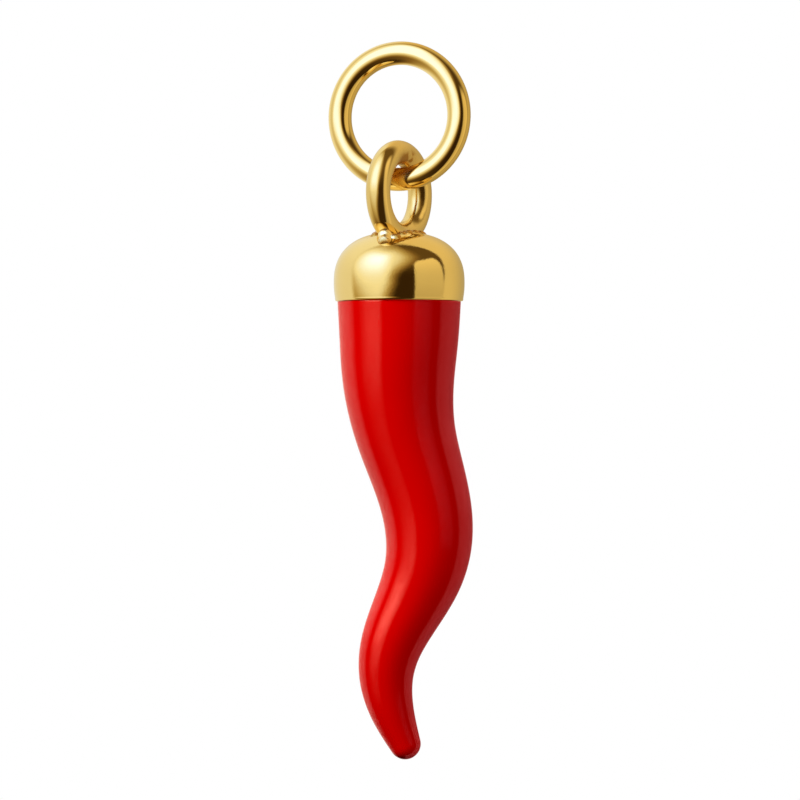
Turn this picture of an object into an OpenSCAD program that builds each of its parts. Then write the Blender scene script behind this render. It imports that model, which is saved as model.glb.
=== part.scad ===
// Cornicello charm: a glossy red horn glued into a gold cap, whose soldered eye hangs in a
// gold jump ring. Millimetres, +Z up. The origin is the inside top of the jump ring, where
// a chain carries the charm. The front looks along +Y, with +X to the right, and the charm
// is drawn hanging plumb.

/* [Jump ring] */
// Outside diameter of the jump ring
ring_outer_d = 8; // [7:0.1:10]
// Diameter of the jump ring's round wire
ring_wire_d = 1.25; // [0.9:0.05:1.4]
// Turn of the jump ring from the front, right side forward, in degrees
ring_turn = 19.5; // [15:1:30]

/* [Eye] */
// Outside diameter of the eye
eye_outer_d = 5.7; // [5.5:0.05:6.5]
// Diameter of the eye's round wire
eye_wire_d = 1.3; // [1.1:0.05:1.4]
// Turn of the eye from the front, left side forward, in degrees
eye_turn = 59.5; // [45:0.5:65]
// Gap between the eye's wire and the jump ring's wire that it hangs over
link_gap = 0.16; // [0.1:0.02:0.4]
// Depth that the eye's wire sinks into the crown of the cap
eye_sink = 0.8; // [0.6:0.05:1.2]

/* [Cap] */
// Greatest diameter of the cap
cap_d = 7; // [6:0.1:8]
// Height of the cap from its rim to its crown
cap_h = 3.7; // [3.4:0.1:4.6]
// Height of the cap's widest place above its rim
cap_belly_h = 0.95; // [0.7:0.05:1.2]
// Squareness of the cap's shoulder, where 2 is an ellipse
cap_squareness = 2.45; // [2:0.05:3]
// Draw-in of the cap's wall from its widest place to its rim, on the radius
rim_tuck = 0.1; // [0.05:0.01:0.2]
// Radius that rounds the outer edge of the rim
rim_round = 0.06; // [0.04:0.01:0.1]
// Thickness of the cap's wall at its rim
rim_wall = 0.45; // [0.35:0.05:0.6]
// Metal left between the eye's wire and the roof of the cap's socket
crown_cover = 0.2; // [0.1:0.05:0.4]

/* [Horn] */
// Length of the horn from the cap's rim to its tip
horn_l = 24.64; // [20:0.1:32]
// Sideways reach of the horn's S curve from the cap's axis
horn_sway = 1.6; // [1:0.1:2.2]
// Step from the cap's rim in to the horn's side, on the radius
rim_step = 0.1; // [0.05:0.01:0.2]
// Gap between the cap's rim and the horn's shoulder
seat_gap = 0.05; // [0.03:0.01:0.1]
// Glue gap round the horn's neck in the cap's socket
glue_gap = 0.05; // [0.03:0.01:0.1]

/* [Hidden] */

GOLD = [0.85, 0.66, 0.28];
RED = [0.78, 0.02, 0.02];

// Sections of the horn, evenly spaced from its shoulder to the middle of its round tip.
// SWAY is the mid-line's place as a share of horn_sway, WIDTH the share of the horn's
// diameter at the shoulder. A cubic B-spline runs along the rows.
SWAY = 0;
WIDTH = 1;
SECTIONS = [
    [0, 1],
    [0, 0.97],
    [-0.05, 0.925],
    [0.02, 0.865],
    [0.24, 0.8],
    [0.62, 0.755],
    [0.94, 0.73],
    [1.05, 0.705],
    [0.84, 0.65],
    [0.27, 0.57],
    [-0.31, 0.505],
    [-0.5, 0.44],
    [-0.27, 0.36],
    [0.235, 0.25],
];

// Beads of solder round the foot of the eye. ALONG is the place along the eye as a share
// of the foot's half length, ACROSS the place to its side as a share of its wire, and SIZE
// the bead's radius as a share of its wire.
ALONG = 0;
ACROSS = 1;
SIZE = 2;
SOLDER = [
    [-1.1, -0.4, 0.2],
    [-0.85, -0.12, 0.28],
    [-0.8, 0.2, 0.26],
    [-0.4, -0.42, 0.24],
    [0.1, -0.45, 0.2],
    [0.5, -0.4, 0.24],
    [0.85, -0.05, 0.28],
    [0.45, 0.42, 0.24],
    [-0.2, 0.45, 0.22],
];

// Counts of facets
ROUND_FN = 96;
HORN_SIDES = 40;
RINGS_PER_SECTION = 4;
TIP_RINGS = 6;
DOME_STEPS = 20;
NECK_STEPS = 8;
TUCK_STEPS = 6;

// Sizes and places worked out from the driving dimensions
ring_r = (ring_outer_d - ring_wire_d) / 2;
ring_z = -(ring_r - ring_wire_d / 2);
pivot_z = ring_z - ring_r;
eye_r = (eye_outer_d - eye_wire_d) / 2;
eye_z = pivot_z + (ring_wire_d + eye_wire_d) / 2 + link_gap - eye_r;
crown_z = eye_z - eye_outer_d / 2 + eye_sink;
rim_z = crown_z - cap_h;
cap_r = cap_d / 2;
rim_r = cap_r - rim_tuck;
dome_h = cap_h - cap_belly_h;
socket_r = rim_r - rim_wall;
socket_h = cap_h - eye_sink - crown_cover;
neck_r = socket_r - glue_gap;
neck_h = socket_h - glue_gap;
horn_r = rim_r - rim_step;
shoulder_z = rim_z - seat_gap;
section_count = len(SECTIONS);
tip_r = horn_r * SECTIONS[section_count - 1][WIDTH];
row_h = (horn_l - seat_gap - tip_r) / (section_count - 1);
// Half length of the eye's foot, where its wire's outside meets the height of the crown
foot_half = sqrt(pow(eye_outer_d / 2, 2) - pow(eye_outer_d / 2 - eye_sink, 2));

// Quarter of a superellipse of half width r and height h that stands on z, rim to crown
function dome(r, h, z, steps, squareness) = [
    for (i = [0 : steps])
        let (a = 90 * i / steps)
            [r * pow(cos(a), 2 / squareness), z + h * pow(sin(a), 2 / squareness)]
];

// Outside radius of the cap at a height above its rim, below its widest place
function tuck_r(h) = cap_r - rim_tuck * pow(1 - h / cap_belly_h, 2);

// Outline of the cap's outside from the bottom of its rim up to its crown
function cap_outside() = concat(
    [for (i = [0 : TUCK_STEPS])
        let (a = 90 * i / TUCK_STEPS)
            [tuck_r(rim_round) - rim_round * (1 - sin(a)), rim_round * (1 - cos(a))]],
    [for (i = [1 : TUCK_STEPS - 1])
        let (h = rim_round + (cap_belly_h - rim_round) * i / TUCK_STEPS)
            [tuck_r(h), h]],
    dome(cap_r, dome_h, cap_belly_h, DOME_STEPS, cap_squareness)
);

// Outline of the cap's socket, or of the neck in it, from its foot up to its roof
function socket_outline(r, h, foot, steps) = concat(
    [[r, foot]],
    dome(r, h - cap_belly_h, cap_belly_h, steps, cap_squareness)
);

function reversed(list) = [for (i = [len(list) - 1 : -1 : 0]) list[i]];

// Height of the cap's dome over its rim, at a distance from its axis
function dome_z(r) =
    cap_belly_h + dome_h * pow(1 - pow(r / cap_r, cap_squareness), 1 / cap_squareness);

// The table's rows with one more at each end, so that the spline starts and ends on them
padded_sections = concat(
    [2 * SECTIONS[0] - SECTIONS[1]],
    SECTIONS,
    [2 * SECTIONS[section_count - 1] - SECTIONS[section_count - 2]]
);

// Uniform cubic B-spline over four rows, and its slope, at a share t of the middle span
function spline(p, t) = (
    pow(1 - t, 3) * p[0]
    + (3 * pow(t, 3) - 6 * pow(t, 2) + 4) * p[1]
    + (3 * t + 3 * pow(t, 2) - 3 * pow(t, 3) + 1) * p[2]
    + pow(t, 3) * p[3]
) / 6;
function spline_slope(p, t) = (
    -pow(1 - t, 2) * p[0]
    + (3 * pow(t, 2) - 4 * t) * p[1]
    + (1 + 2 * t - 3 * pow(t, 2)) * p[2]
    + pow(t, 2) * p[3]
) / 2;

// One section of the horn at u rows down the table: its mid-line point in X and Z, its
// radius, the direction of the mid-line there, and how fast the radius falls along it
POINT = 0;
RADIUS = 1;
DIRECTION = 2;
TAPER = 3;
function section_at(u) =
    let (
        k = min(floor(u), section_count - 2),
        rows = [for (i = [0 : 3]) padded_sections[k + i]],
        here = spline(rows, u - k),
        slope = spline_slope(rows, u - k),
        run = [slope[SWAY] * horn_sway, -row_h],
        step = norm(run)
    )
    [
        [here[SWAY] * horn_sway, shoulder_z - row_h * u],
        here[WIDTH] * horn_r,
        run / step,
        -slope[WIDTH] * horn_r / step,
    ];

// A round ring of points about a mid-line point, square to the mid-line's direction
function ring_points(centre, r, direction) = [
    for (i = [0 : HORN_SIDES - 1])
        let (a = 360 * i / HORN_SIDES)
            [
                centre[0] - direction[1] * r * cos(a),
                r * sin(a),
                centre[1] + direction[0] * r * cos(a),
            ]
];

// The rings of the horn's neck in the cap's socket, from under its top down to its foot
function neck_rings() =
    let (outline = reversed(socket_outline(neck_r, neck_h, -seat_gap, NECK_STEPS)))
    [
        for (i = [1 : len(outline) - 1])
            ring_points([0, rim_z + outline[i][1]], outline[i][0], [0, -1])
    ];

// The rings of the horn's body, from its shoulder to where its round tip starts
function body_rings() = [
    for (i = [0 : RINGS_PER_SECTION * (section_count - 1)])
        let (s = section_at(i / RINGS_PER_SECTION))
            ring_points(s[POINT], s[RADIUS], s[DIRECTION])
];

// The ball that closes the tip smoothly: its middle, its radius, and the angle along it at
// which the last section of the body leaves it
tip_section = section_at(section_count - 1);
tip_lean = atan(tip_section[TAPER]);
tip_ball_r = tip_section[RADIUS] / cos(tip_lean);
tip_ball = tip_section[POINT] - tip_section[DIRECTION] * tip_ball_r * sin(tip_lean);
function along_tip(a) = tip_ball + tip_section[DIRECTION] * tip_ball_r * sin(a);

// The rings of the tip, short of the point where they close
function tip_rings() = [
    for (i = [1 : TIP_RINGS])
        let (a = tip_lean + (90 - tip_lean) * i / (TIP_RINGS + 1))
            ring_points(along_tip(a), tip_ball_r * cos(a), tip_section[DIRECTION])
];

// A closed skin over rings of the same number of points, from the top one to the last
module skin(rings, top, tip) {
    sides = len(rings[0]);
    last = 1 + (len(rings) - 1) * sides;
    points = concat([top], [for (ring = rings) each ring], [tip]);
    faces = concat(
        [for (j = [0 : sides - 1]) [0, 1 + (j + 1) % sides, 1 + j]],
        [for (a = [1 : sides : last - sides], j = [0 : sides - 1])
            let (b = a + sides, n = (j + 1) % sides)
                [a + n, b + n, b + j, a + j]],
        [for (j = [0 : sides - 1]) [last + sides, last + j, last + (j + 1) % sides]]
    );
    polyhedron(points, faces, convexity = 6);
}

// A round wire bent to a closed ring that stands upright, turned about the plumb line
module wire_ring(r, wire_d, turn) {
    rotate([90, 0, turn])
        rotate_extrude($fn = ROUND_FN)
            translate([r, 0])
                circle(d = wire_d, $fn = ROUND_FN / 2);
}

module jump_ring() {
    color(GOLD)
        translate([0, 0, ring_z])
            wire_ring(ring_r, ring_wire_d, -ring_turn);
}

// The cap's cup, hollow for the horn's neck
module cap_shell() {
    socket = socket_outline(socket_r, socket_h, 0, DOME_STEPS);
    translate([0, 0, rim_z])
        rotate_extrude($fn = ROUND_FN)
            polygon(concat(cap_outside(), reversed(socket)));
}

module solder_bead(bead) {
    along = bead[ALONG] * foot_half;
    across = bead[ACROSS] * eye_wire_d;
    rotate([0, 0, eye_turn])
        translate([along, across, rim_z + dome_z(norm([along, across]))])
            sphere(r = bead[SIZE] * eye_wire_d, $fn = ROUND_FN / 2);
}

// The cap and its eye, soldered to one piece
module cap() {
    color(GOLD)
        union() {
            cap_shell();
            translate([0, 0, eye_z])
                wire_ring(eye_r, eye_wire_d, eye_turn);
            for (bead = SOLDER)
                solder_bead(bead);
        }
}

module horn() {
    tip = along_tip(90);
    color(RED)
        skin(
            concat(neck_rings(), body_rings(), tip_rings()),
            [0, 0, rim_z + neck_h],
            [tip[0], 0, tip[1]]
        );
}

jump_ring();
cap();
horn();
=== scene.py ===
import math

import bmesh
import bpy
import numpy as np
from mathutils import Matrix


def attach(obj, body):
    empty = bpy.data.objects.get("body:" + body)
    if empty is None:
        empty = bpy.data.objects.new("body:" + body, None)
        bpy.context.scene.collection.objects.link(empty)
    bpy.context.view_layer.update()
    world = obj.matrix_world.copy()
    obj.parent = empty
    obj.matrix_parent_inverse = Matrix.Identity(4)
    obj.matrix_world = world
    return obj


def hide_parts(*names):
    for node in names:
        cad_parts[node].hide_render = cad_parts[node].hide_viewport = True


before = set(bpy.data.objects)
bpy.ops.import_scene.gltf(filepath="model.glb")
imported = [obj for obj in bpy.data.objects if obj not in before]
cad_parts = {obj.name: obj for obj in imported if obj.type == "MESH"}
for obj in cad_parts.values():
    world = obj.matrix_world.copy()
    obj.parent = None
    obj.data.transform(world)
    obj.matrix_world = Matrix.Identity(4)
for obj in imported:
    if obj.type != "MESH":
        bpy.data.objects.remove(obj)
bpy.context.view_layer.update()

# Camera: as the photograph was taken, level with the middle of the pendant and 200 mm in front
# of it. Pure white and full red come out as they are in the Standard view.
MM = 0.001
CAMERA_AT = (0.043, -200, -17.93)
FRAME_WIDTH = 42.8

camera = bpy.data.objects.new("camera", bpy.data.cameras.new("camera"))
bpy.context.scene.collection.objects.link(camera)
bpy.context.scene.camera = camera
camera.location = [MM * place for place in CAMERA_AT]
camera.rotation_euler = (math.radians(90), 0, 0)
camera.data.sensor_width = 36
camera.data.lens = 36 * -CAMERA_AT[1] / FRAME_WIDTH
camera.data.clip_start = 10 * MM
camera.data.clip_end = 5000 * MM
bpy.context.scene.view_settings.view_transform = "Standard"


# Jump ring: round brass wire, drawn through a die, bent to a closed ring and gold-plated. It
# hangs by the inside of its top, which is the origin, and carries the eye of the cap.
RING_OUTSIDE = 8.0
RING_WIRE = 1.25
RING_TURN = -19.5
RING_STEPS = (320, 64)
GRAIN_RUNS = 0.3

ring_r = (RING_OUTSIDE - RING_WIRE) / 2
ring_z = RING_WIRE / 2 - ring_r


def hoop(middle_z, radius, wire_r, turn, around, across):
    """Points of a wire bent to an upright hoop. At angle u round the hoop and v round the wire:
    middle + (radius + wire_r cos v) (cos u level + sin u up) + wire_r sin v side, where level is
    the hoop's own horizontal direction and side is square to it."""
    u = np.linspace(0, 2 * np.pi, around, endpoint=False)[:, None, None]
    v = np.linspace(0, 2 * np.pi, across, endpoint=False)[None, :, None]
    level = np.array([math.cos(math.radians(turn)), math.sin(math.radians(turn)), 0])
    up = np.array([0, 0, 1])
    out = np.cos(u) * level + np.sin(u) * up
    side = np.cross(level, up)
    return middle_z * up + (radius + wire_r * np.cos(v)) * out + wire_r * np.sin(v) * side


def grain_of(around, across):
    """Seamless coordinates for marks that run along a hoop's wire: (cos v, sin v) round the wire,
    and GRAIN_RUNS cos u along it."""
    u, v = np.meshgrid(np.linspace(0, 2 * np.pi, around, endpoint=False),
                       np.linspace(0, 2 * np.pi, across, endpoint=False), indexing="ij")
    return np.stack([np.cos(v), np.sin(v), GRAIN_RUNS * np.cos(u)], axis=-1).reshape(-1, 3)


def skin(grid, poles=None):
    """Points, face corners and corner counts over a grid of points. Its columns run round and
    close. Its rows close too, or each end has a pole point with a fan of triangles to it."""
    rows, columns = grid.shape[:2]
    index = np.arange(rows * columns).reshape(rows, columns)
    index = np.hstack([index, index[:, :1]])
    points = grid.reshape(-1, 3)
    if poles is None:
        index = np.vstack([index, index[:1]])
    quads = np.stack([index[:-1, :-1], index[1:, :-1], index[1:, 1:], index[:-1, 1:]], axis=-1)
    corners = quads.ravel()
    counts = np.full(corners.size // 4, 4)
    if poles is not None:
        first, last = rows * columns, rows * columns + 1
        top = np.stack([np.full(columns, first), index[0, :-1], index[0, 1:]], axis=-1)
        foot = np.stack([np.full(columns, last), index[-1, 1:], index[-1, :-1]], axis=-1)
        points = np.vstack([points, poles])
        corners = np.concatenate([corners, top.ravel(), foot.ravel()])
        counts = np.concatenate([counts, np.full(2 * columns, 3)])
    return points, corners, counts


def make_piece(name, node, body, surface, material, marks):
    """An object that stands for a CAD node and rides on its body, from a skin in millimetres.
    Marks are named values at its points, in threes, that its material reads."""
    points, corners, counts = surface
    mesh = bpy.data.meshes.new(name)
    mesh.vertices.add(len(points))
    mesh.vertices.foreach_set("co", (points * MM).ravel())
    mesh.loops.add(len(corners))
    mesh.loops.foreach_set("vertex_index", corners)
    mesh.polygons.add(len(counts))
    mesh.polygons.foreach_set("loop_start", np.cumsum(counts) - counts)
    mesh.update(calc_edges=True)
    mesh.shade_smooth()
    for title, values in marks.items():
        mark = mesh.attributes.new(title, "FLOAT_VECTOR", "POINT")
        mark.data.foreach_set("vector", np.broadcast_to(values, points.shape).ravel())
    mesh.materials.append(material)
    made = bpy.data.objects.new(name, mesh)
    bpy.context.scene.collection.objects.link(made)
    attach(made, body)
    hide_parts(node)
    return made


class Shade:
    """An output socket in a node tree. Sums and products of it, also with plain numbers, add
    Math nodes."""

    def __init__(self, tree, socket=None):
        self.tree = tree
        self.socket = socket

    def node(self, kind, settings, inputs, output=0):
        """Adds a node: its settings first, then the value or link of each input. A ramp's stops
        are a setting, as (place, colour) pairs."""
        made = self.tree.nodes.new(kind)
        for name, value in settings.items():
            if name == "stops":
                ramp = made.color_ramp
                while len(ramp.elements) < len(value):
                    ramp.elements.new(0.5)
                for element, (place, colour) in zip(ramp.elements, value):
                    element.position = place
                    element.color = colour
            else:
                setattr(made, name, value)
        for name, value in inputs.items():
            if isinstance(value, Shade):
                self.tree.links.new(value.socket, made.inputs[name])
            else:
                made.inputs[name].default_value = value
        return Shade(self.tree, made.outputs[output] if len(made.outputs) else None)

    def maths(self, operation, *values):
        return self.node("ShaderNodeMath", {"operation": operation}, dict(enumerate(values)))

    def __add__(self, other):
        return self.maths("ADD", self, other)

    def __sub__(self, other):
        return self.maths("SUBTRACT", self, other)

    def __rsub__(self, other):
        return self.maths("SUBTRACT", other, self)

    def __mul__(self, other):
        return self.maths("MULTIPLY", self, other)

    def __neg__(self):
        return self.maths("MULTIPLY", self, -1)

    __radd__ = __add__
    __rmul__ = __mul__


def new_material(name):
    """An empty node tree of a new material, to add nodes to."""
    material = bpy.data.materials.new(name)
    material.use_nodes = True
    material.node_tree.nodes.clear()
    return material, Shade(material.node_tree)


def noise(place, scale, detail, roughness):
    """Smooth noise from 0 to 1 round 0.5, scale to the unit of place."""
    return place.node("ShaderNodeTexNoise", {"noise_dimensions": "3D"},
                      {"Vector": place, "Scale": scale, "Detail": detail, "Roughness": roughness})


def rise(value, start, end):
    """Smooth step from 0 at start to 1 at end."""
    return value.node("ShaderNodeMapRange", {"interpolation_type": "SMOOTHSTEP"},
                      {"Value": value, "From Min": start, "From Max": end})


def blend(share, first, second):
    """A colour between two: first where share is 0, second where it is 1."""
    return share.node("ShaderNodeMix", {"data_type": "RGBA"}, {0: share, 6: first, 7: second}, 2)


GOLD_PALE = (0.985, 0.735, 0.29, 1)
GOLD_DEEP = (0.96, 0.695, 0.255, 1)
# The brown of painted shade on the gold, which the cap also takes faintly as a random tone.
GOLD_SHADE_BROWN = (0.52, 0.25, 0.035, 1)


def gold(tree, thickness, shade_and_tone, roughness, relief, depth):
    """Gold plate over brass: its colour goes from pale to deep with the plate's thickness and to
    brown by the share given, which is painted shade on the wire, the eye and the solder and a
    faint random tone on the cap, and relief from 0 to 1 stands depth metres high."""
    bump = tree.node("ShaderNodeBump", {}, {"Strength": 1.0, "Distance": depth, "Height": relief})
    surface = tree.node("ShaderNodeBsdfPrincipled", {}, {
        "Base Color": blend(shade_and_tone, blend(thickness, GOLD_PALE, GOLD_DEEP), GOLD_SHADE_BROWN),
        "Metallic": 1.0, "Roughness": roughness, "Normal": bump})
    tree.node("ShaderNodeOutputMaterial", {}, {"Surface": surface})


def distance(place, point):
    """How far a place is from a point."""
    return place.node("ShaderNodeVectorMath", {"operation": "DISTANCE"}, {0: place, 1: point}, "Value")


def shade_at_touch(place, near, far):
    """1 round the place where the ring and the eye meet, from near to far of it in millimetres:
    where shade between the two parts is painted on."""
    touch = (0, 0, (ring_z - ring_r + RING_WIRE / 2) * MM)
    return 1 - rise(distance(place, touch), near * MM, far * MM)


wire_gold, tree = new_material("drawn_gold_wire")
along = tree.node("ShaderNodeAttribute", {"attribute_name": "grain"}, {}, "Vector")
place = tree.node("ShaderNodeTexCoord", {}, {}, "Object")
drawn = noise(along, 9, 2, 0.5)
smudge = noise(place, 900, 3, 0.6)
# Painted shade: the wire is browned, and made rougher, where it meets the eye.
shade_and_tone = shade_at_touch(place, 0.8, 1.15)
gold(tree, smudge, shade_and_tone * 0.8, 0.04 + smudge * 0.03 + drawn * 0.04 + shade_and_tone * 0.2, drawn, 0.001 * MM)

ring_grid = hoop(ring_z, ring_r, RING_WIRE / 2, RING_TURN, *RING_STEPS)
ring = make_piece("ring_wire", "jump_ring", "ring", skin(ring_grid), wire_gold,
                  {"grain": grain_of(*RING_STEPS)})


# Cap: a cup stamped from thin brass, its rim drawn in a little and turned to a fine lip, with a
# closed eye of round wire soldered upright on its crown. The whole is gold-plated and polished.
EYE_OUTSIDE = 5.7
EYE_WIRE = 1.3
EYE_TURN = 59.5
EYE_STEPS = (320, 56)
LINK_GAP = 0.16
EYE_SINK = 0.8
CAP_ACROSS = 7.0
CAP_HEIGHT = 3.7
BELLY_HEIGHT = 0.95
SQUARENESS = 2.45
RIM_TUCK = 0.1
RIM_ROUND = 0.06
RIM_WALL = 0.45
LIP_STANDS = 0.012
LIP_HEIGHT = 0.085
LIP_SPREAD = 0.035
LIP_ROWS = 60
CROWN_COVER = 0.2
DOME_COLUMNS = 384

eye_r = (EYE_OUTSIDE - EYE_WIRE) / 2
eye_z = ring_z - ring_r + (RING_WIRE + EYE_WIRE) / 2 + LINK_GAP - eye_r
crown_z = eye_z - EYE_OUTSIDE / 2 + EYE_SINK
rim_z = crown_z - CAP_HEIGHT
cap_r = CAP_ACROSS / 2
rim_r = cap_r - RIM_TUCK
eye_level = np.array([math.cos(math.radians(EYE_TURN)), math.sin(math.radians(EYE_TURN)), 0])
eye_side = np.array([-eye_level[1], eye_level[0], 0])


def dome_height(r):
    """Height of the cap's dome over the rim at a distance r from its axis, on a superellipse:
    belly + (cap height - belly) (1 - (r / cap_r)^n)^(1 / n)."""
    left = 1 - np.minimum(r / cap_r, 1) ** SQUARENESS
    return BELLY_HEIGHT + (CAP_HEIGHT - BELLY_HEIGHT) * left ** (1 / SQUARENESS)


def dome_arc(radius, top, start, end, count):
    """Outline of a dome over its belly, as (distance from the axis, height over the rim), at
    angles a in degrees: (radius cos(a)^(2 / n), belly + (top - belly) sin(a)^(2 / n))."""
    a = np.radians(np.linspace(start, end, count))
    return np.stack([radius * np.cos(a) ** (2 / SQUARENESS),
                     BELLY_HEIGHT + (top - BELLY_HEIGHT) * np.sin(a) ** (2 / SQUARENESS)], axis=1)


# The cap's outline as (distance from the axis, height over the rim), from the crown down the
# outside, round the lip, and up the socket to its roof.
outside = dome_arc(cap_r, CAP_HEIGHT, 90, 0, 3000)
h = np.linspace(BELLY_HEIGHT, RIM_ROUND, 300)[1:]
wall = np.stack([cap_r - RIM_TUCK * (1 - h / BELLY_HEIGHT) ** 2, h], axis=1)
wall[:, 0] += LIP_STANDS * np.exp(-((h - LIP_HEIGHT) / LIP_SPREAD) ** 2)
a = np.radians(np.linspace(0, 90, 60))[1:]
edge = wall[-1] + RIM_ROUND * np.stack([np.cos(a) - 1, -np.sin(a)], axis=1)
socket_r = rim_r - RIM_WALL
socket_h = CAP_HEIGHT - EYE_SINK - CROWN_COVER
socket = dome_arc(socket_r, socket_h, 0, 90, 400)
outline = np.vstack([outside, wall, edge, [[socket_r, 0]], socket])

# The skin's rows lie at these distances along that outline, close together on the crown and
# round the lip, which takes the last LIP_ROWS points of the wall.
run = np.concatenate([[0], np.cumsum(np.hypot(*np.diff(outline, axis=0).T))])
run_to_lip = run[len(outside) + len(wall) - LIP_ROWS]
run_to_foot = run[len(outside) + len(wall) + len(edge) - 1]
stops = np.concatenate([np.linspace(0.03, 2.9, 96), np.linspace(2.96, run_to_lip, 34)[:-1],
                        np.linspace(run_to_lip, run_to_foot, 16),
                        np.linspace(run_to_foot + 0.2, run[-1] - 0.2, 16)])
r = np.interp(stops, run, outline[:, 0])
z = np.interp(stops, run, outline[:, 1])

turn = np.linspace(0, 2 * np.pi, DOME_COLUMNS, endpoint=False)
dome_grid = np.stack([r[:, None] * np.cos(turn), r[:, None] * np.sin(turn),
                      np.repeat(rim_z + z[:, None], DOME_COLUMNS, axis=1)], axis=-1)
roof = [[0, 0, crown_z], [0, 0, rim_z + socket_h]]

eye_grid = hoop(eye_z, eye_r, EYE_WIRE / 2, EYE_TURN, *EYE_STEPS)

# Beads of solder round the eye's foot, in millimetres: the place along the eye, to its side
# and over the dome, and the radius. The first two are the big double lump at the near foot.
BEADS = np.array([
    [-2.0, -0.3, 0.05, 0.37],
    [-2.38, -0.52, -0.1, 0.37],
    [-1.76, -0.84, -0.24, 0.36],
    [-1.16, -0.84, -0.26, 0.37],
    [-0.5, -0.8, -0.27, 0.4],
    [0.22, -0.78, -0.24, 0.38],
    [0.95, -0.74, -0.22, 0.4],
    [1.6, -0.4, -0.24, 0.4],
    [1.7, 0.3, -0.24, 0.38],
    [1.1, 0.72, -0.24, 0.38],
    [0.4, 0.8, -0.28, 0.4],
    [-0.35, 0.8, -0.26, 0.38],
    [-1.0, 0.76, -0.26, 0.38],
    [-1.6, 0.46, -0.26, 0.38],
])
BEAD_MERGE = 0.045
SOLDER_STEPS = (480, 72)
SOLDER_LONG = 1.85
SOLDER_WIDE = 0.66
SOLDER_SINK = 0.15

# The solder is a closed tube round the foot, whose skin is the beads run together: there
# -k log(sum of exp(-distance / k)) is nothing. It is found by stepping in from 1 mm round a line
# under the dome, 0.7 of the way each time. The limits of its reach keep it off the line and off
# the socket's roof.
u, v = np.meshgrid(*(np.linspace(0, 2 * np.pi, count, endpoint=False) for count in SOLDER_STEPS),
                   indexing="ij")
forth = np.cos(u)[..., None] * eye_level
aside = np.sin(u)[..., None] * eye_side
line = SOLDER_LONG * forth + SOLDER_WIDE * aside
line[..., 2] = rim_z + dome_height(np.hypot(line[..., 0], line[..., 1])) - SOLDER_SINK
away = SOLDER_WIDE * forth + SOLDER_LONG * aside
away = away / np.linalg.norm(away, axis=-1, keepdims=True)
out = np.cos(v)[..., None] * away + np.sin(v)[..., None] * np.array([0, 0, 1])
bead_foot = rim_z + dome_height(np.hypot(BEADS[:, 0], BEADS[:, 1])) + BEADS[:, 2]
bead_at = BEADS[:, :1] * eye_level + BEADS[:, 1:2] * eye_side + bead_foot[:, None] * [0, 0, 1]
reach = np.ones(u.shape)
for _ in range(50):
    at = line + reach[..., None] * out
    apart = np.linalg.norm(at[:, :, None] - bead_at, axis=-1) - BEADS[:, 3]
    nearest = -BEAD_MERGE * np.log(np.exp(-apart / BEAD_MERGE).sum(axis=-1))
    reach = np.clip(reach - 0.7 * nearest, 0.06, 0.65 + 0.4 * np.cos(v))
solder_grid = line + reach[..., None] * out

# The inside of the eye and the solder are out of the polishing wheel's reach. The solder is
# browned by painted shade away from its double lump, and on the lump in the dimples of its ripple.
cap_gold, tree = new_material("polished_gold_cap")
place = tree.node("ShaderNodeTexCoord", {}, {}, "Object")
satin = noise(place, 9000, 2, 0.6)
smudge = noise(place, 700, 3, 0.6)
gold(tree, smudge, smudge * 0.02, 0.045 + smudge * 0.04, satin, 0.0022 * MM)

eye_gold, tree = new_material("gold_eye")
along = tree.node("ShaderNodeAttribute", {"attribute_name": "grain"}, {}, "Vector")
outward = tree.node("ShaderNodeSeparateXYZ", {}, {0: along})
place = tree.node("ShaderNodeTexCoord", {}, {}, "Object")
inside = rise(-outward, -0.35, 0.5)
drawn = noise(along, 9, 2, 0.5)
smudge = noise(place, 900, 3, 0.6)
dent = noise(place, 1700, 1, 0.5)
# Painted shade: the eye's inner side is browned, unevenly by the dent noise, where it meets the ring.
shade_and_tone = shade_at_touch(place, 0.8, 1.6) * rise(-outward, -0.6, 0.4) * (0.3 + rise(dent, 0.4, 0.55))
gold(tree, smudge, shade_and_tone, 0.04 + smudge * 0.03 + drawn * 0.04 + inside * 0.08 + shade_and_tone * 0.15,
     drawn + dent * inside * 20, 0.001 * MM)

solder_gold, tree = new_material("gold_solder")
place = tree.node("ShaderNodeTexCoord", {}, {}, "Object")
ripple = noise(place, 1500, 1, 0.5)
from_lump = distance(place, tuple(bead_at[:2].mean(axis=0) * MM))
# Painted shade: brown away from the double lump and in the dimples of the ripple.
shade_off_lump = rise(from_lump, 0.42 * MM, 0.62 * MM)
dimple_shade = 1 - rise(ripple, 0.38, 0.5)
shade_and_tone = dimple_shade * 0.35 + shade_off_lump * (1 - dimple_shade * 0.35)
gold(tree, ripple, shade_and_tone, 0.28 + ripple * 0.1, ripple, 0.013 * MM)

dome = make_piece("cap_dome", "cap", "charm", skin(dome_grid, roof), cap_gold, {})
eye = make_piece("cap_eye", "cap", "charm", skin(eye_grid), eye_gold,
                 {"grain": grain_of(*EYE_STEPS)})
solder = make_piece("cap_solder", "cap", "charm", skin(solder_grid), solder_gold, {})

# The ring and the solder are kept out of reflections. There they would draw thin lines and small
# lumps on the eye and the cap, of which the photograph shows few.
ring.visible_glossy = False
solder.visible_glossy = False


# Horn: cast red resin, polished to a high gloss. It is one S curve that narrows to a round tip,
# round in section, and its neck is glued up into the cap's socket.
HORN_LENGTH = 24.64
HORN_SWAY = 1.6
RIM_STEP = 0.1
SEAT_GAP = 0.05
GLUE_GAP = 0.05
GLUE_RISE = 0.035
SHOULDER_ROUND = 0.03
HORN_COLUMNS = 112

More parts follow.
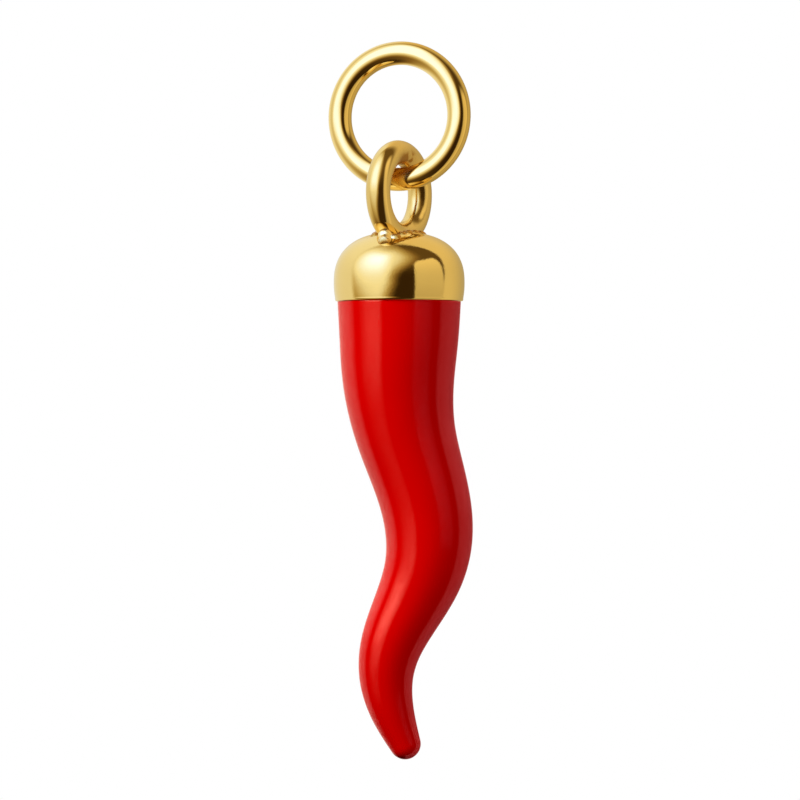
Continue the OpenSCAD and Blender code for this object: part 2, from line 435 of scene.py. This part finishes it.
# Sections evenly spaced from the shoulder to the middle of the round tip: the mid-line's place
# as a share of the sway, and the radius as a share of the shoulder's.
SECTIONS = np.array([
    [0, 1],
    [0, 0.97],
    [-0.05, 0.925],
    [0.02, 0.865],
    [0.24, 0.8],
    [0.62, 0.755],
    [0.94, 0.73],
    [1.05, 0.705],
    [0.84, 0.65],
    [0.27, 0.57],
    [-0.31, 0.505],
    [-0.5, 0.44],
    [-0.27, 0.36],
    [0.235, 0.25],
])

horn_r = rim_r - RIM_STEP
shoulder_z = rim_z - SEAT_GAP
row_h = (HORN_LENGTH - SEAT_GAP - horn_r * SECTIONS[-1, 1]) / (len(SECTIONS) - 1)


def spline(u):
    """Uniform cubic B-spline down the table of sections, and its slope, at u rows from the top.
    One mirrored row more at each end makes it start and end on the table."""
    rows = np.vstack([2 * SECTIONS[0] - SECTIONS[1], SECTIONS, 2 * SECTIONS[-1] - SECTIONS[-2]])
    k = np.minimum(u.astype(int), len(SECTIONS) - 2)
    t = u - k
    weight = np.stack([(1 - t) ** 3, 3 * t ** 3 - 6 * t ** 2 + 4,
                       3 * t + 3 * t ** 2 - 3 * t ** 3 + 1, t ** 3]) / 6
    change = np.stack([-(1 - t) ** 2, 3 * t ** 2 - 4 * t, 1 + 2 * t - 3 * t ** 2, t ** 2]) / 2
    four = rows[k + np.arange(4)[:, None]]
    return (weight[..., None] * four).sum(axis=0), (change[..., None] * four).sum(axis=0)


def rings(centre, radius, direction):
    """Round rings about mid-line points (x, z), each square to its direction (x, z): the point
    at angle a is centre + radius (cos a across + sin a back)."""
    a = np.linspace(0, 2 * np.pi, HORN_COLUMNS, endpoint=False)
    x = centre[:, :1] - direction[:, 1:] * radius[:, None] * np.cos(a)
    y = radius[:, None] * np.sin(a)
    z = centre[:, 1:] + direction[:, :1] * radius[:, None] * np.cos(a)
    return np.stack([x, y, z], axis=-1)


u = np.linspace(0, len(SECTIONS) - 1, 300)
here, slope = spline(u)
run = np.stack([slope[:, 0] * HORN_SWAY, np.full(len(u), -row_h)], axis=1)
step = np.linalg.norm(run, axis=1)[:, None]
centre = np.stack([here[:, 0] * HORN_SWAY, shoulder_z - row_h * u], axis=1)
radius = here[:, 1] * horn_r
direction = run / step
taper = math.atan(-slope[-1, 1] * horn_r / step[-1, 0])
body_grid = rings(centre, radius, direction)

# The tip is a ball that the last section runs into smoothly.
ball_r = radius[-1] / math.cos(taper)
ball = centre[-1] - direction[-1] * ball_r * math.sin(taper)
a = np.linspace(taper, math.pi / 2, 18)[1:-1]
tip_centre = ball + direction[-1] * ball_r * np.sin(a)[:, None]
tip_grid = rings(tip_centre, ball_r * np.cos(a), np.repeat(direction[-1:], len(a), axis=0))
tip = ball + direction[-1] * ball_r

# The neck fills the socket but for the glue, and the shoulder's edge is polished round.
neck_r = socket_r - GLUE_GAP
neck_h = socket_h - GLUE_GAP
neck = dome_arc(neck_r, neck_h, 85, 0, 14)
a = np.radians(np.linspace(90, 10, 7))
shoulder = np.stack([horn_r - SHOULDER_ROUND * (1 - np.cos(a)),
                     GLUE_RISE - SEAT_GAP - SHOULDER_ROUND * (1 - np.sin(a))], axis=1)
neck = np.vstack([neck, [[neck_r, GLUE_RISE - SEAT_GAP]], shoulder])
level = np.zeros((len(neck), 2)) + [0, -1]
neck_grid = rings(np.stack([0 * neck[:, 1], rim_z + neck[:, 1]], axis=1), neck[:, 0], level)
horn_grid = np.vstack([neck_grid, body_grid[1:], tip_grid])

red_resin, tree = new_material("polished_red_resin")
place = tree.node("ShaderNodeTexCoord", {}, {}, "Object")
cloud = noise(place, 260, 3, 0.55)
polish = noise(place, 1500, 3, 0.6)
ripple = noise(place, 420, 1, 0.4)
bump = tree.node("ShaderNodeBump", {}, {"Strength": 1.0, "Distance": 0.012 * MM, "Height": ripple})
surface = tree.node("ShaderNodeBsdfPrincipled", {}, {
    "Base Color": blend(cloud, (0.62, 0.0, 0.0, 1), (0.55, 0.0, 0.0, 1)),
    "Roughness": 0.05 + polish * 0.04, "IOR": 1.5, "Normal": bump})
tree.node("ShaderNodeOutputMaterial", {}, {"Surface": surface})

horn = make_piece("horn_resin", "horn", "charm",
                  skin(horn_grid, [[0, 0, rim_z + neck_h], [tip[0], 0, tip[1]]]), red_resin, {})


# Studio: the camera sees a plain white ground. Each piece stands in a tent of its own, a far
# sphere of light that it alone mirrors, fitted to the bands of light on that piece.
TENT_FAR = {"dome_tent": 3000, "eye_tent": 3200, "ring_tent": 3400, "solder_tent": 3500,
            "horn_tent": 3600}

world = bpy.data.worlds.new("studio")
world.use_nodes = True
world.node_tree.nodes.clear()
bpy.context.scene.world = world
tree = Shade(world.node_tree)
seen = tree.node("ShaderNodeLightPath", {}, {}, "Is Camera Ray")
ground = tree.node("ShaderNodeBackground", {}, {"Color": (1, 1, 1, 1), "Strength": seen})
tree.node("ShaderNodeOutputWorld", {}, {"Surface": ground})


def span(value, up, down):
    """1 between two smooth steps, each given by its start and end."""
    return rise(value, *up) * (1 - rise(value, *down))


def tinted(colour, share):
    """A colour times a share, which may be over 1."""
    return share.node("ShaderNodeVectorMath", {"operation": "SCALE"}, {0: colour, "Scale": share})


def directions(tree):
    """Where a point of a tent lies from the pendant: x, y and z of its unit vector, azimuth
    atan2(x, -y), which is 0 towards the camera and grows to its right, and elevation asin(z),
    both in degrees."""
    place = tree.node("ShaderNodeTexCoord", {}, {}, "Object")
    unit = tree.node("ShaderNodeVectorMath", {"operation": "NORMALIZE"}, {0: place})
    x, y, z = (tree.node("ShaderNodeSeparateXYZ", {}, {0: unit}, axis) for axis in "XYZ")
    azimuth = tree.maths("ARCTAN2", x, -y) * math.degrees(1)
    return x, y, z, azimuth, tree.maths("ARCSINE", z) * math.degrees(1)


def hang_tent(paint, tree, lights, pieces):
    """A tent of the sum of some lights, which are colours. It is clear to what isn't its own."""
    light = lights[0]
    for more in lights[1:]:
        light = tree.node("ShaderNodeVectorMath", {"operation": "ADD"}, {0: light, 1: more})
    glow = tree.node("ShaderNodeEmission", {}, {"Color": light, "Strength": 1.0})
    clear = tree.node("ShaderNodeBsdfTransparent", {}, {})
    both = tree.node("ShaderNodeAddShader", {}, {0: glow, 1: clear})
    tree.node("ShaderNodeOutputMaterial", {}, {"Surface": both})
    mesh = bpy.data.meshes.new(paint.name)
    form = bmesh.new()
    bmesh.ops.create_uvsphere(form, u_segments=48, v_segments=24, radius=TENT_FAR[paint.name] * MM)
    form.to_mesh(mesh)
    form.free()
    mesh.materials.append(paint)
    made = bpy.data.objects.new(paint.name, mesh)
    bpy.context.scene.collection.objects.link(made)
    made.visible_camera = False
    made.visible_shadow = False
    made.visible_diffuse = False
    made.light_linking.receiver_collection = bpy.data.collections.new(paint.name)
    for piece in pieces:
        made.light_linking.receiver_collection.objects.link(piece)


# What the brightness of the light on the gold makes of its colour: the dimmer, the warmer.
TINTS = [(0, (0, 0, 0, 1)), (0.025, (0.025, 0.0117, 0.0028, 1)), (0.24, (0.24, 0.15, 0.048, 1)),
         (0.5, (0.5, 0.404, 0.2, 1)), (0.65, (0.65, 0.59, 0.42, 1)), (0.82, (0.82, 0.83, 0.77, 1)),
         (1, (0.96, 1, 0.97, 1))]
OVER_TINT = (0.08, 0.28, 1)
CARD_END = 85


def gold_tent(name, pieces, left_wall, box, hot, dark, card, right_wall):
    """The light on gold: a pale wall behind on the left and a warm one on the right, and in
    front a soft box on the left with a hot part, a card with round corners on the right, and
    darkness between. The left wall has its level, its edge in y, the edge's softness, its lean
    back with height and the step at its foot. The box has its level, its lean and its steps at
    the left, at the right low down, at the right high up, from low to high, at the foot and at
    the head, and its hot part has its level and its steps at the left, right, foot and head. The
    dark has its level and what it gains overhead. The card ends at CARD_END and has its start,
    top, the top's lean, corner, softness, level and slope of level. The right wall has its
    colour, edge, softness, lean, that lean's limit and its level. Angles are in degrees. Light
    over 1 is whitened by OVER_TINT."""
    paint, tree = new_material(name)
    x, y, z, azimuth, elevation = directions(tree)
    upper = tree.maths("MAXIMUM", z, 0)
    right = rise(x, -0.3, 0.3)
    level, edge, soft, tilt, foot = left_wall
    behind = rise(y - tilt * upper, edge - soft, edge + soft) * (1 - right)
    pale = behind * (level + 0.001 * elevation) * rise(elevation, *foot)
    level, lean, left, right_low, right_high, height, foot, head = box
    high = rise(elevation, *height)
    under = 0.5 * tree.maths("MINIMUM", elevation, 0)
    start = high * (right_high[0] - right_low[0]) + right_low[0] + under
    end = high * (right_high[1] - right_low[1]) + right_low[1] + under
    front = level * rise(azimuth + lean * elevation, *left) * (1 - rise(azimuth, start, end))
    front = front * span(elevation, foot, head)
    strength, hot_left, hot_right, hot_foot, hot_top = hot
    front = front + strength * span(azimuth, hot_left, hot_right) * span(elevation, hot_foot, hot_top)
    glow = pale + front * (1 - behind) + dark[0] + dark[1] * rise(elevation, 5, 45)
    shade = tree.node("ShaderNodeValToRGB", {"stops": TINTS}, {"Fac": glow})
    start, top, top_lean, corner, soft, level, slope = card
    middle = (start + CARD_END) / 2
    across = tree.maths("ABSOLUTE", azimuth - middle) - (CARD_END - middle - corner)
    across = tree.maths("MAXIMUM", across, 0)
    over = elevation - top_lean * (azimuth - middle) - (top - corner)
    over = tree.maths("MAXIMUM", over, 0)
    out = tree.maths("SQRT", across * across + over * over) - corner
    warm = (1 - rise(out, -soft, soft)) * (level + slope * elevation)
    colour, edge, soft, tilt, limit, level = right_wall
    reach = y - tree.maths("MINIMUM", tilt * upper, limit)
    far = rise(tree.maths("ABSOLUTE", azimuth), 95, 160) * (1 - rise(elevation, 0, 45))
    warm = warm + level * rise(reach, edge - soft, edge + soft) * right * (1 - 0.35 * far)
    over = tree.maths("MAXIMUM", glow - 1, 0)
    hang_tent(paint, tree, [shade, tinted(OVER_TINT, over), tinted(colour, warm)], pieces)


gold_tent("dome_tent", [dome],
          left_wall=(0.78, -0.01, 0.1, 0.23, (-75, -23)),
          box=(0.95, 0.515, (-132, -44), (-35, 3), (-30, 61), (0, 54), (-55, -6), (49, 103)),
          hot=(2.2, (-109, -52), (-44, -10), (-6, 42), (44, 69)),
          dark=(0.035, 0.08),
          card=(28, 40, 0.06, 15, 2.5, 0.86, 0.007),
          right_wall=((0.69, 0.6, 0.35), -0.08, 0.05, 0.3, 0.186, 0.98))
gold_tent("eye_tent", [eye],
          left_wall=(0.694, -0.07, 0.094, 0.444, (-70, -10)),
          box=(1.03, 0.41, (-159, -46), (-25, 13), (-25, 36), (3, 50), (-120, 43), (58, 104)),
          hot=(1.3, (-94, -55), (-32, 0), (-1, 27), (48, 80)),
          dark=(0.04, 0.1),
          card=(53, 45, 0, 14, 9, 0.873, 0.005),
          right_wall=((0.751, 0.625, 0.347), -0.13, 0.2, 0.44, 0.402, 0.73))
gold_tent("ring_tent", [ring],
          left_wall=(0.894, -0.1, 0.83, 0.425, (-75, -23)),
          box=(1.2, 0.336, (-114, -56), (-24, 20), (-19, 76), (3, 91), (-44, 14), (58, 117)),
          hot=(1.5, (-81, -63), (-29, 21), (-5, 6), (65, 85)),
          dark=(0.03, 0.05),
          card=(43, 29, 0, 16, 8, 0.9, 0.004),
          right_wall=((0.752, 0.614, 0.296), -0.1, 0.4, 0.288, 0.212, 0.73))
gold_tent("solder_tent", [solder],
          left_wall=(0.75, -0.01, 0.1, 0.23, (-75, -23)),
          box=(1.1, 0.3, (-130, -60), (-10, 30), (0, 60), (0, 54), (-50, 0), (58, 110)),
          hot=(3.2, (-130, -90), (-5, 50), (-25, 15), (80, 100)),
          dark=(0.3, 0.1),
          card=(28, 40, 0, 15, 5, 0.7, 0.005),
          right_wall=((0.72, 0.6, 0.33), -0.08, 0.2, 0.3, 0.186, 0.8))

# On the horn the walls and the box are dimmer and come back pink from the resin.
paint, tree = new_material("horn_tent")
_, _, _, azimuth, elevation = directions(tree)
turned = azimuth * math.radians(1)
behind = -tree.maths("COSINE", turned)
right = rise(tree.maths("SINE", turned), -0.17, 0.17)
left_wall = rise(behind, 0.02, 0.37) * (1 - right) * rise(elevation, -45, -22)
left_wall = left_wall * (0.52 + 0.3 * rise(elevation, 4, 16))
right_wall = rise(behind, -0.17, 0.02) * (1 - 0.4 * rise(behind, 0.42, 0.87)) * right
right_wall = right_wall * (0.19 + 0.06 * rise(elevation, 0, 5))
box = span(azimuth, (-86, -50), (-42, -30)) * rise(elevation, -32, -20)
box = box * (0.15 + 0.5 * rise(elevation, -18, -4) + 2.2 * rise(elevation, -4, 12))
card = 0.07 * span(azimuth, (24, 34), (58, 70)) * rise(elevation, -16, -8)
hang_tent(paint, tree, [tinted((2.07, 1, 0.85), left_wall), tinted((5.3, 1, 1), right_wall),
                        tinted((3.3, 1, 0.7), box), tinted((3, 1, 1.2), card)], [horn])


def lamp(name, place, size, power):
    """A square lamp that faces the middle of the pendant, with its place and size in
    millimetres. It lights the resin's own colour and isn't mirrored."""
    made = bpy.data.objects.new(name, bpy.data.lights.new(name, "AREA"))
    bpy.context.scene.collection.objects.link(made)
    made.location = [MM * value for value in place]
    to_middle = bpy.context.scene.camera.location.copy()
    to_middle.x, to_middle.y = 0, 0
    made.rotation_mode = "QUATERNION"
    made.rotation_quaternion = (to_middle - made.location).to_track_quat("-Z", "Y")
    made.data.size = size * MM
    made.data.energy = power
    made.visible_glossy = False
    made.visible_camera = False


# A key lamp on the left, a little above, a weak one on the front right, and one straight behind,
# which the front doesn't feel.
lamp("key", (-360, -208, 222), 260, 3.6)
lamp("fill", (304, -362, 65), 260, 1.3)
lamp("back", (0, 420, 20), 100, 1.8)


# Floor: a plain pale disc that fades into the white ground at its edge.
FLOOR_Z = -80
FLOOR_R = 380
FLOOR_STEPS = (24, 96)

turn = np.linspace(0, 2 * np.pi, FLOOR_STEPS[1], endpoint=False)
floor_grid = np.linspace(0.05, 1, FLOOR_STEPS[0])[:, None, None] * FLOOR_R * np.stack(
    [np.cos(turn), np.sin(turn), 0 * turn], axis=-1) + [0, 0, FLOOR_Z]
index = np.arange(math.prod(FLOOR_STEPS)).reshape(FLOOR_STEPS)
index = np.hstack([index, index[:, :1]])
quads = np.stack([index[:-1, :-1], index[1:, :-1], index[1:, 1:], index[:-1, 1:]], axis=-1)
mesh = bpy.data.meshes.new("floor")
mesh.from_pydata((floor_grid.reshape(-1, 3) * MM).tolist(), [],
                 quads.reshape(-1, 4).tolist() + [index[0, :-1].tolist()])
floor = bpy.data.objects.new("floor", mesh)
bpy.context.scene.collection.objects.link(floor)
paint, tree = new_material("pale_floor")
place = tree.node("ShaderNodeTexCoord", {}, {}, "Object")
far = tree.node("ShaderNodeVectorMath", {"operation": "LENGTH"}, {0: place}, "Value")
fade = tree.node("ShaderNodeMapRange", {"interpolation_type": "SMOOTHSTEP"},
                 {"Value": far, "From Min": 0.45 * FLOOR_R * MM, "From Max": 0.98 * FLOOR_R * MM})
matt = tree.node("ShaderNodeBsdfPrincipled", {},
                 {"Base Color": (0.9, 0.9, 0.89, 1), "Roughness": 0.9})
clear = tree.node("ShaderNodeBsdfTransparent", {}, {})
surface = tree.node("ShaderNodeMixShader", {}, {0: fade, 1: matt, 2: clear})
tree.node("ShaderNodeOutputMaterial", {}, {"Surface": surface})
mesh.materials.append(paint)
floor.visible_glossy = False
floor.visible_diffuse = False
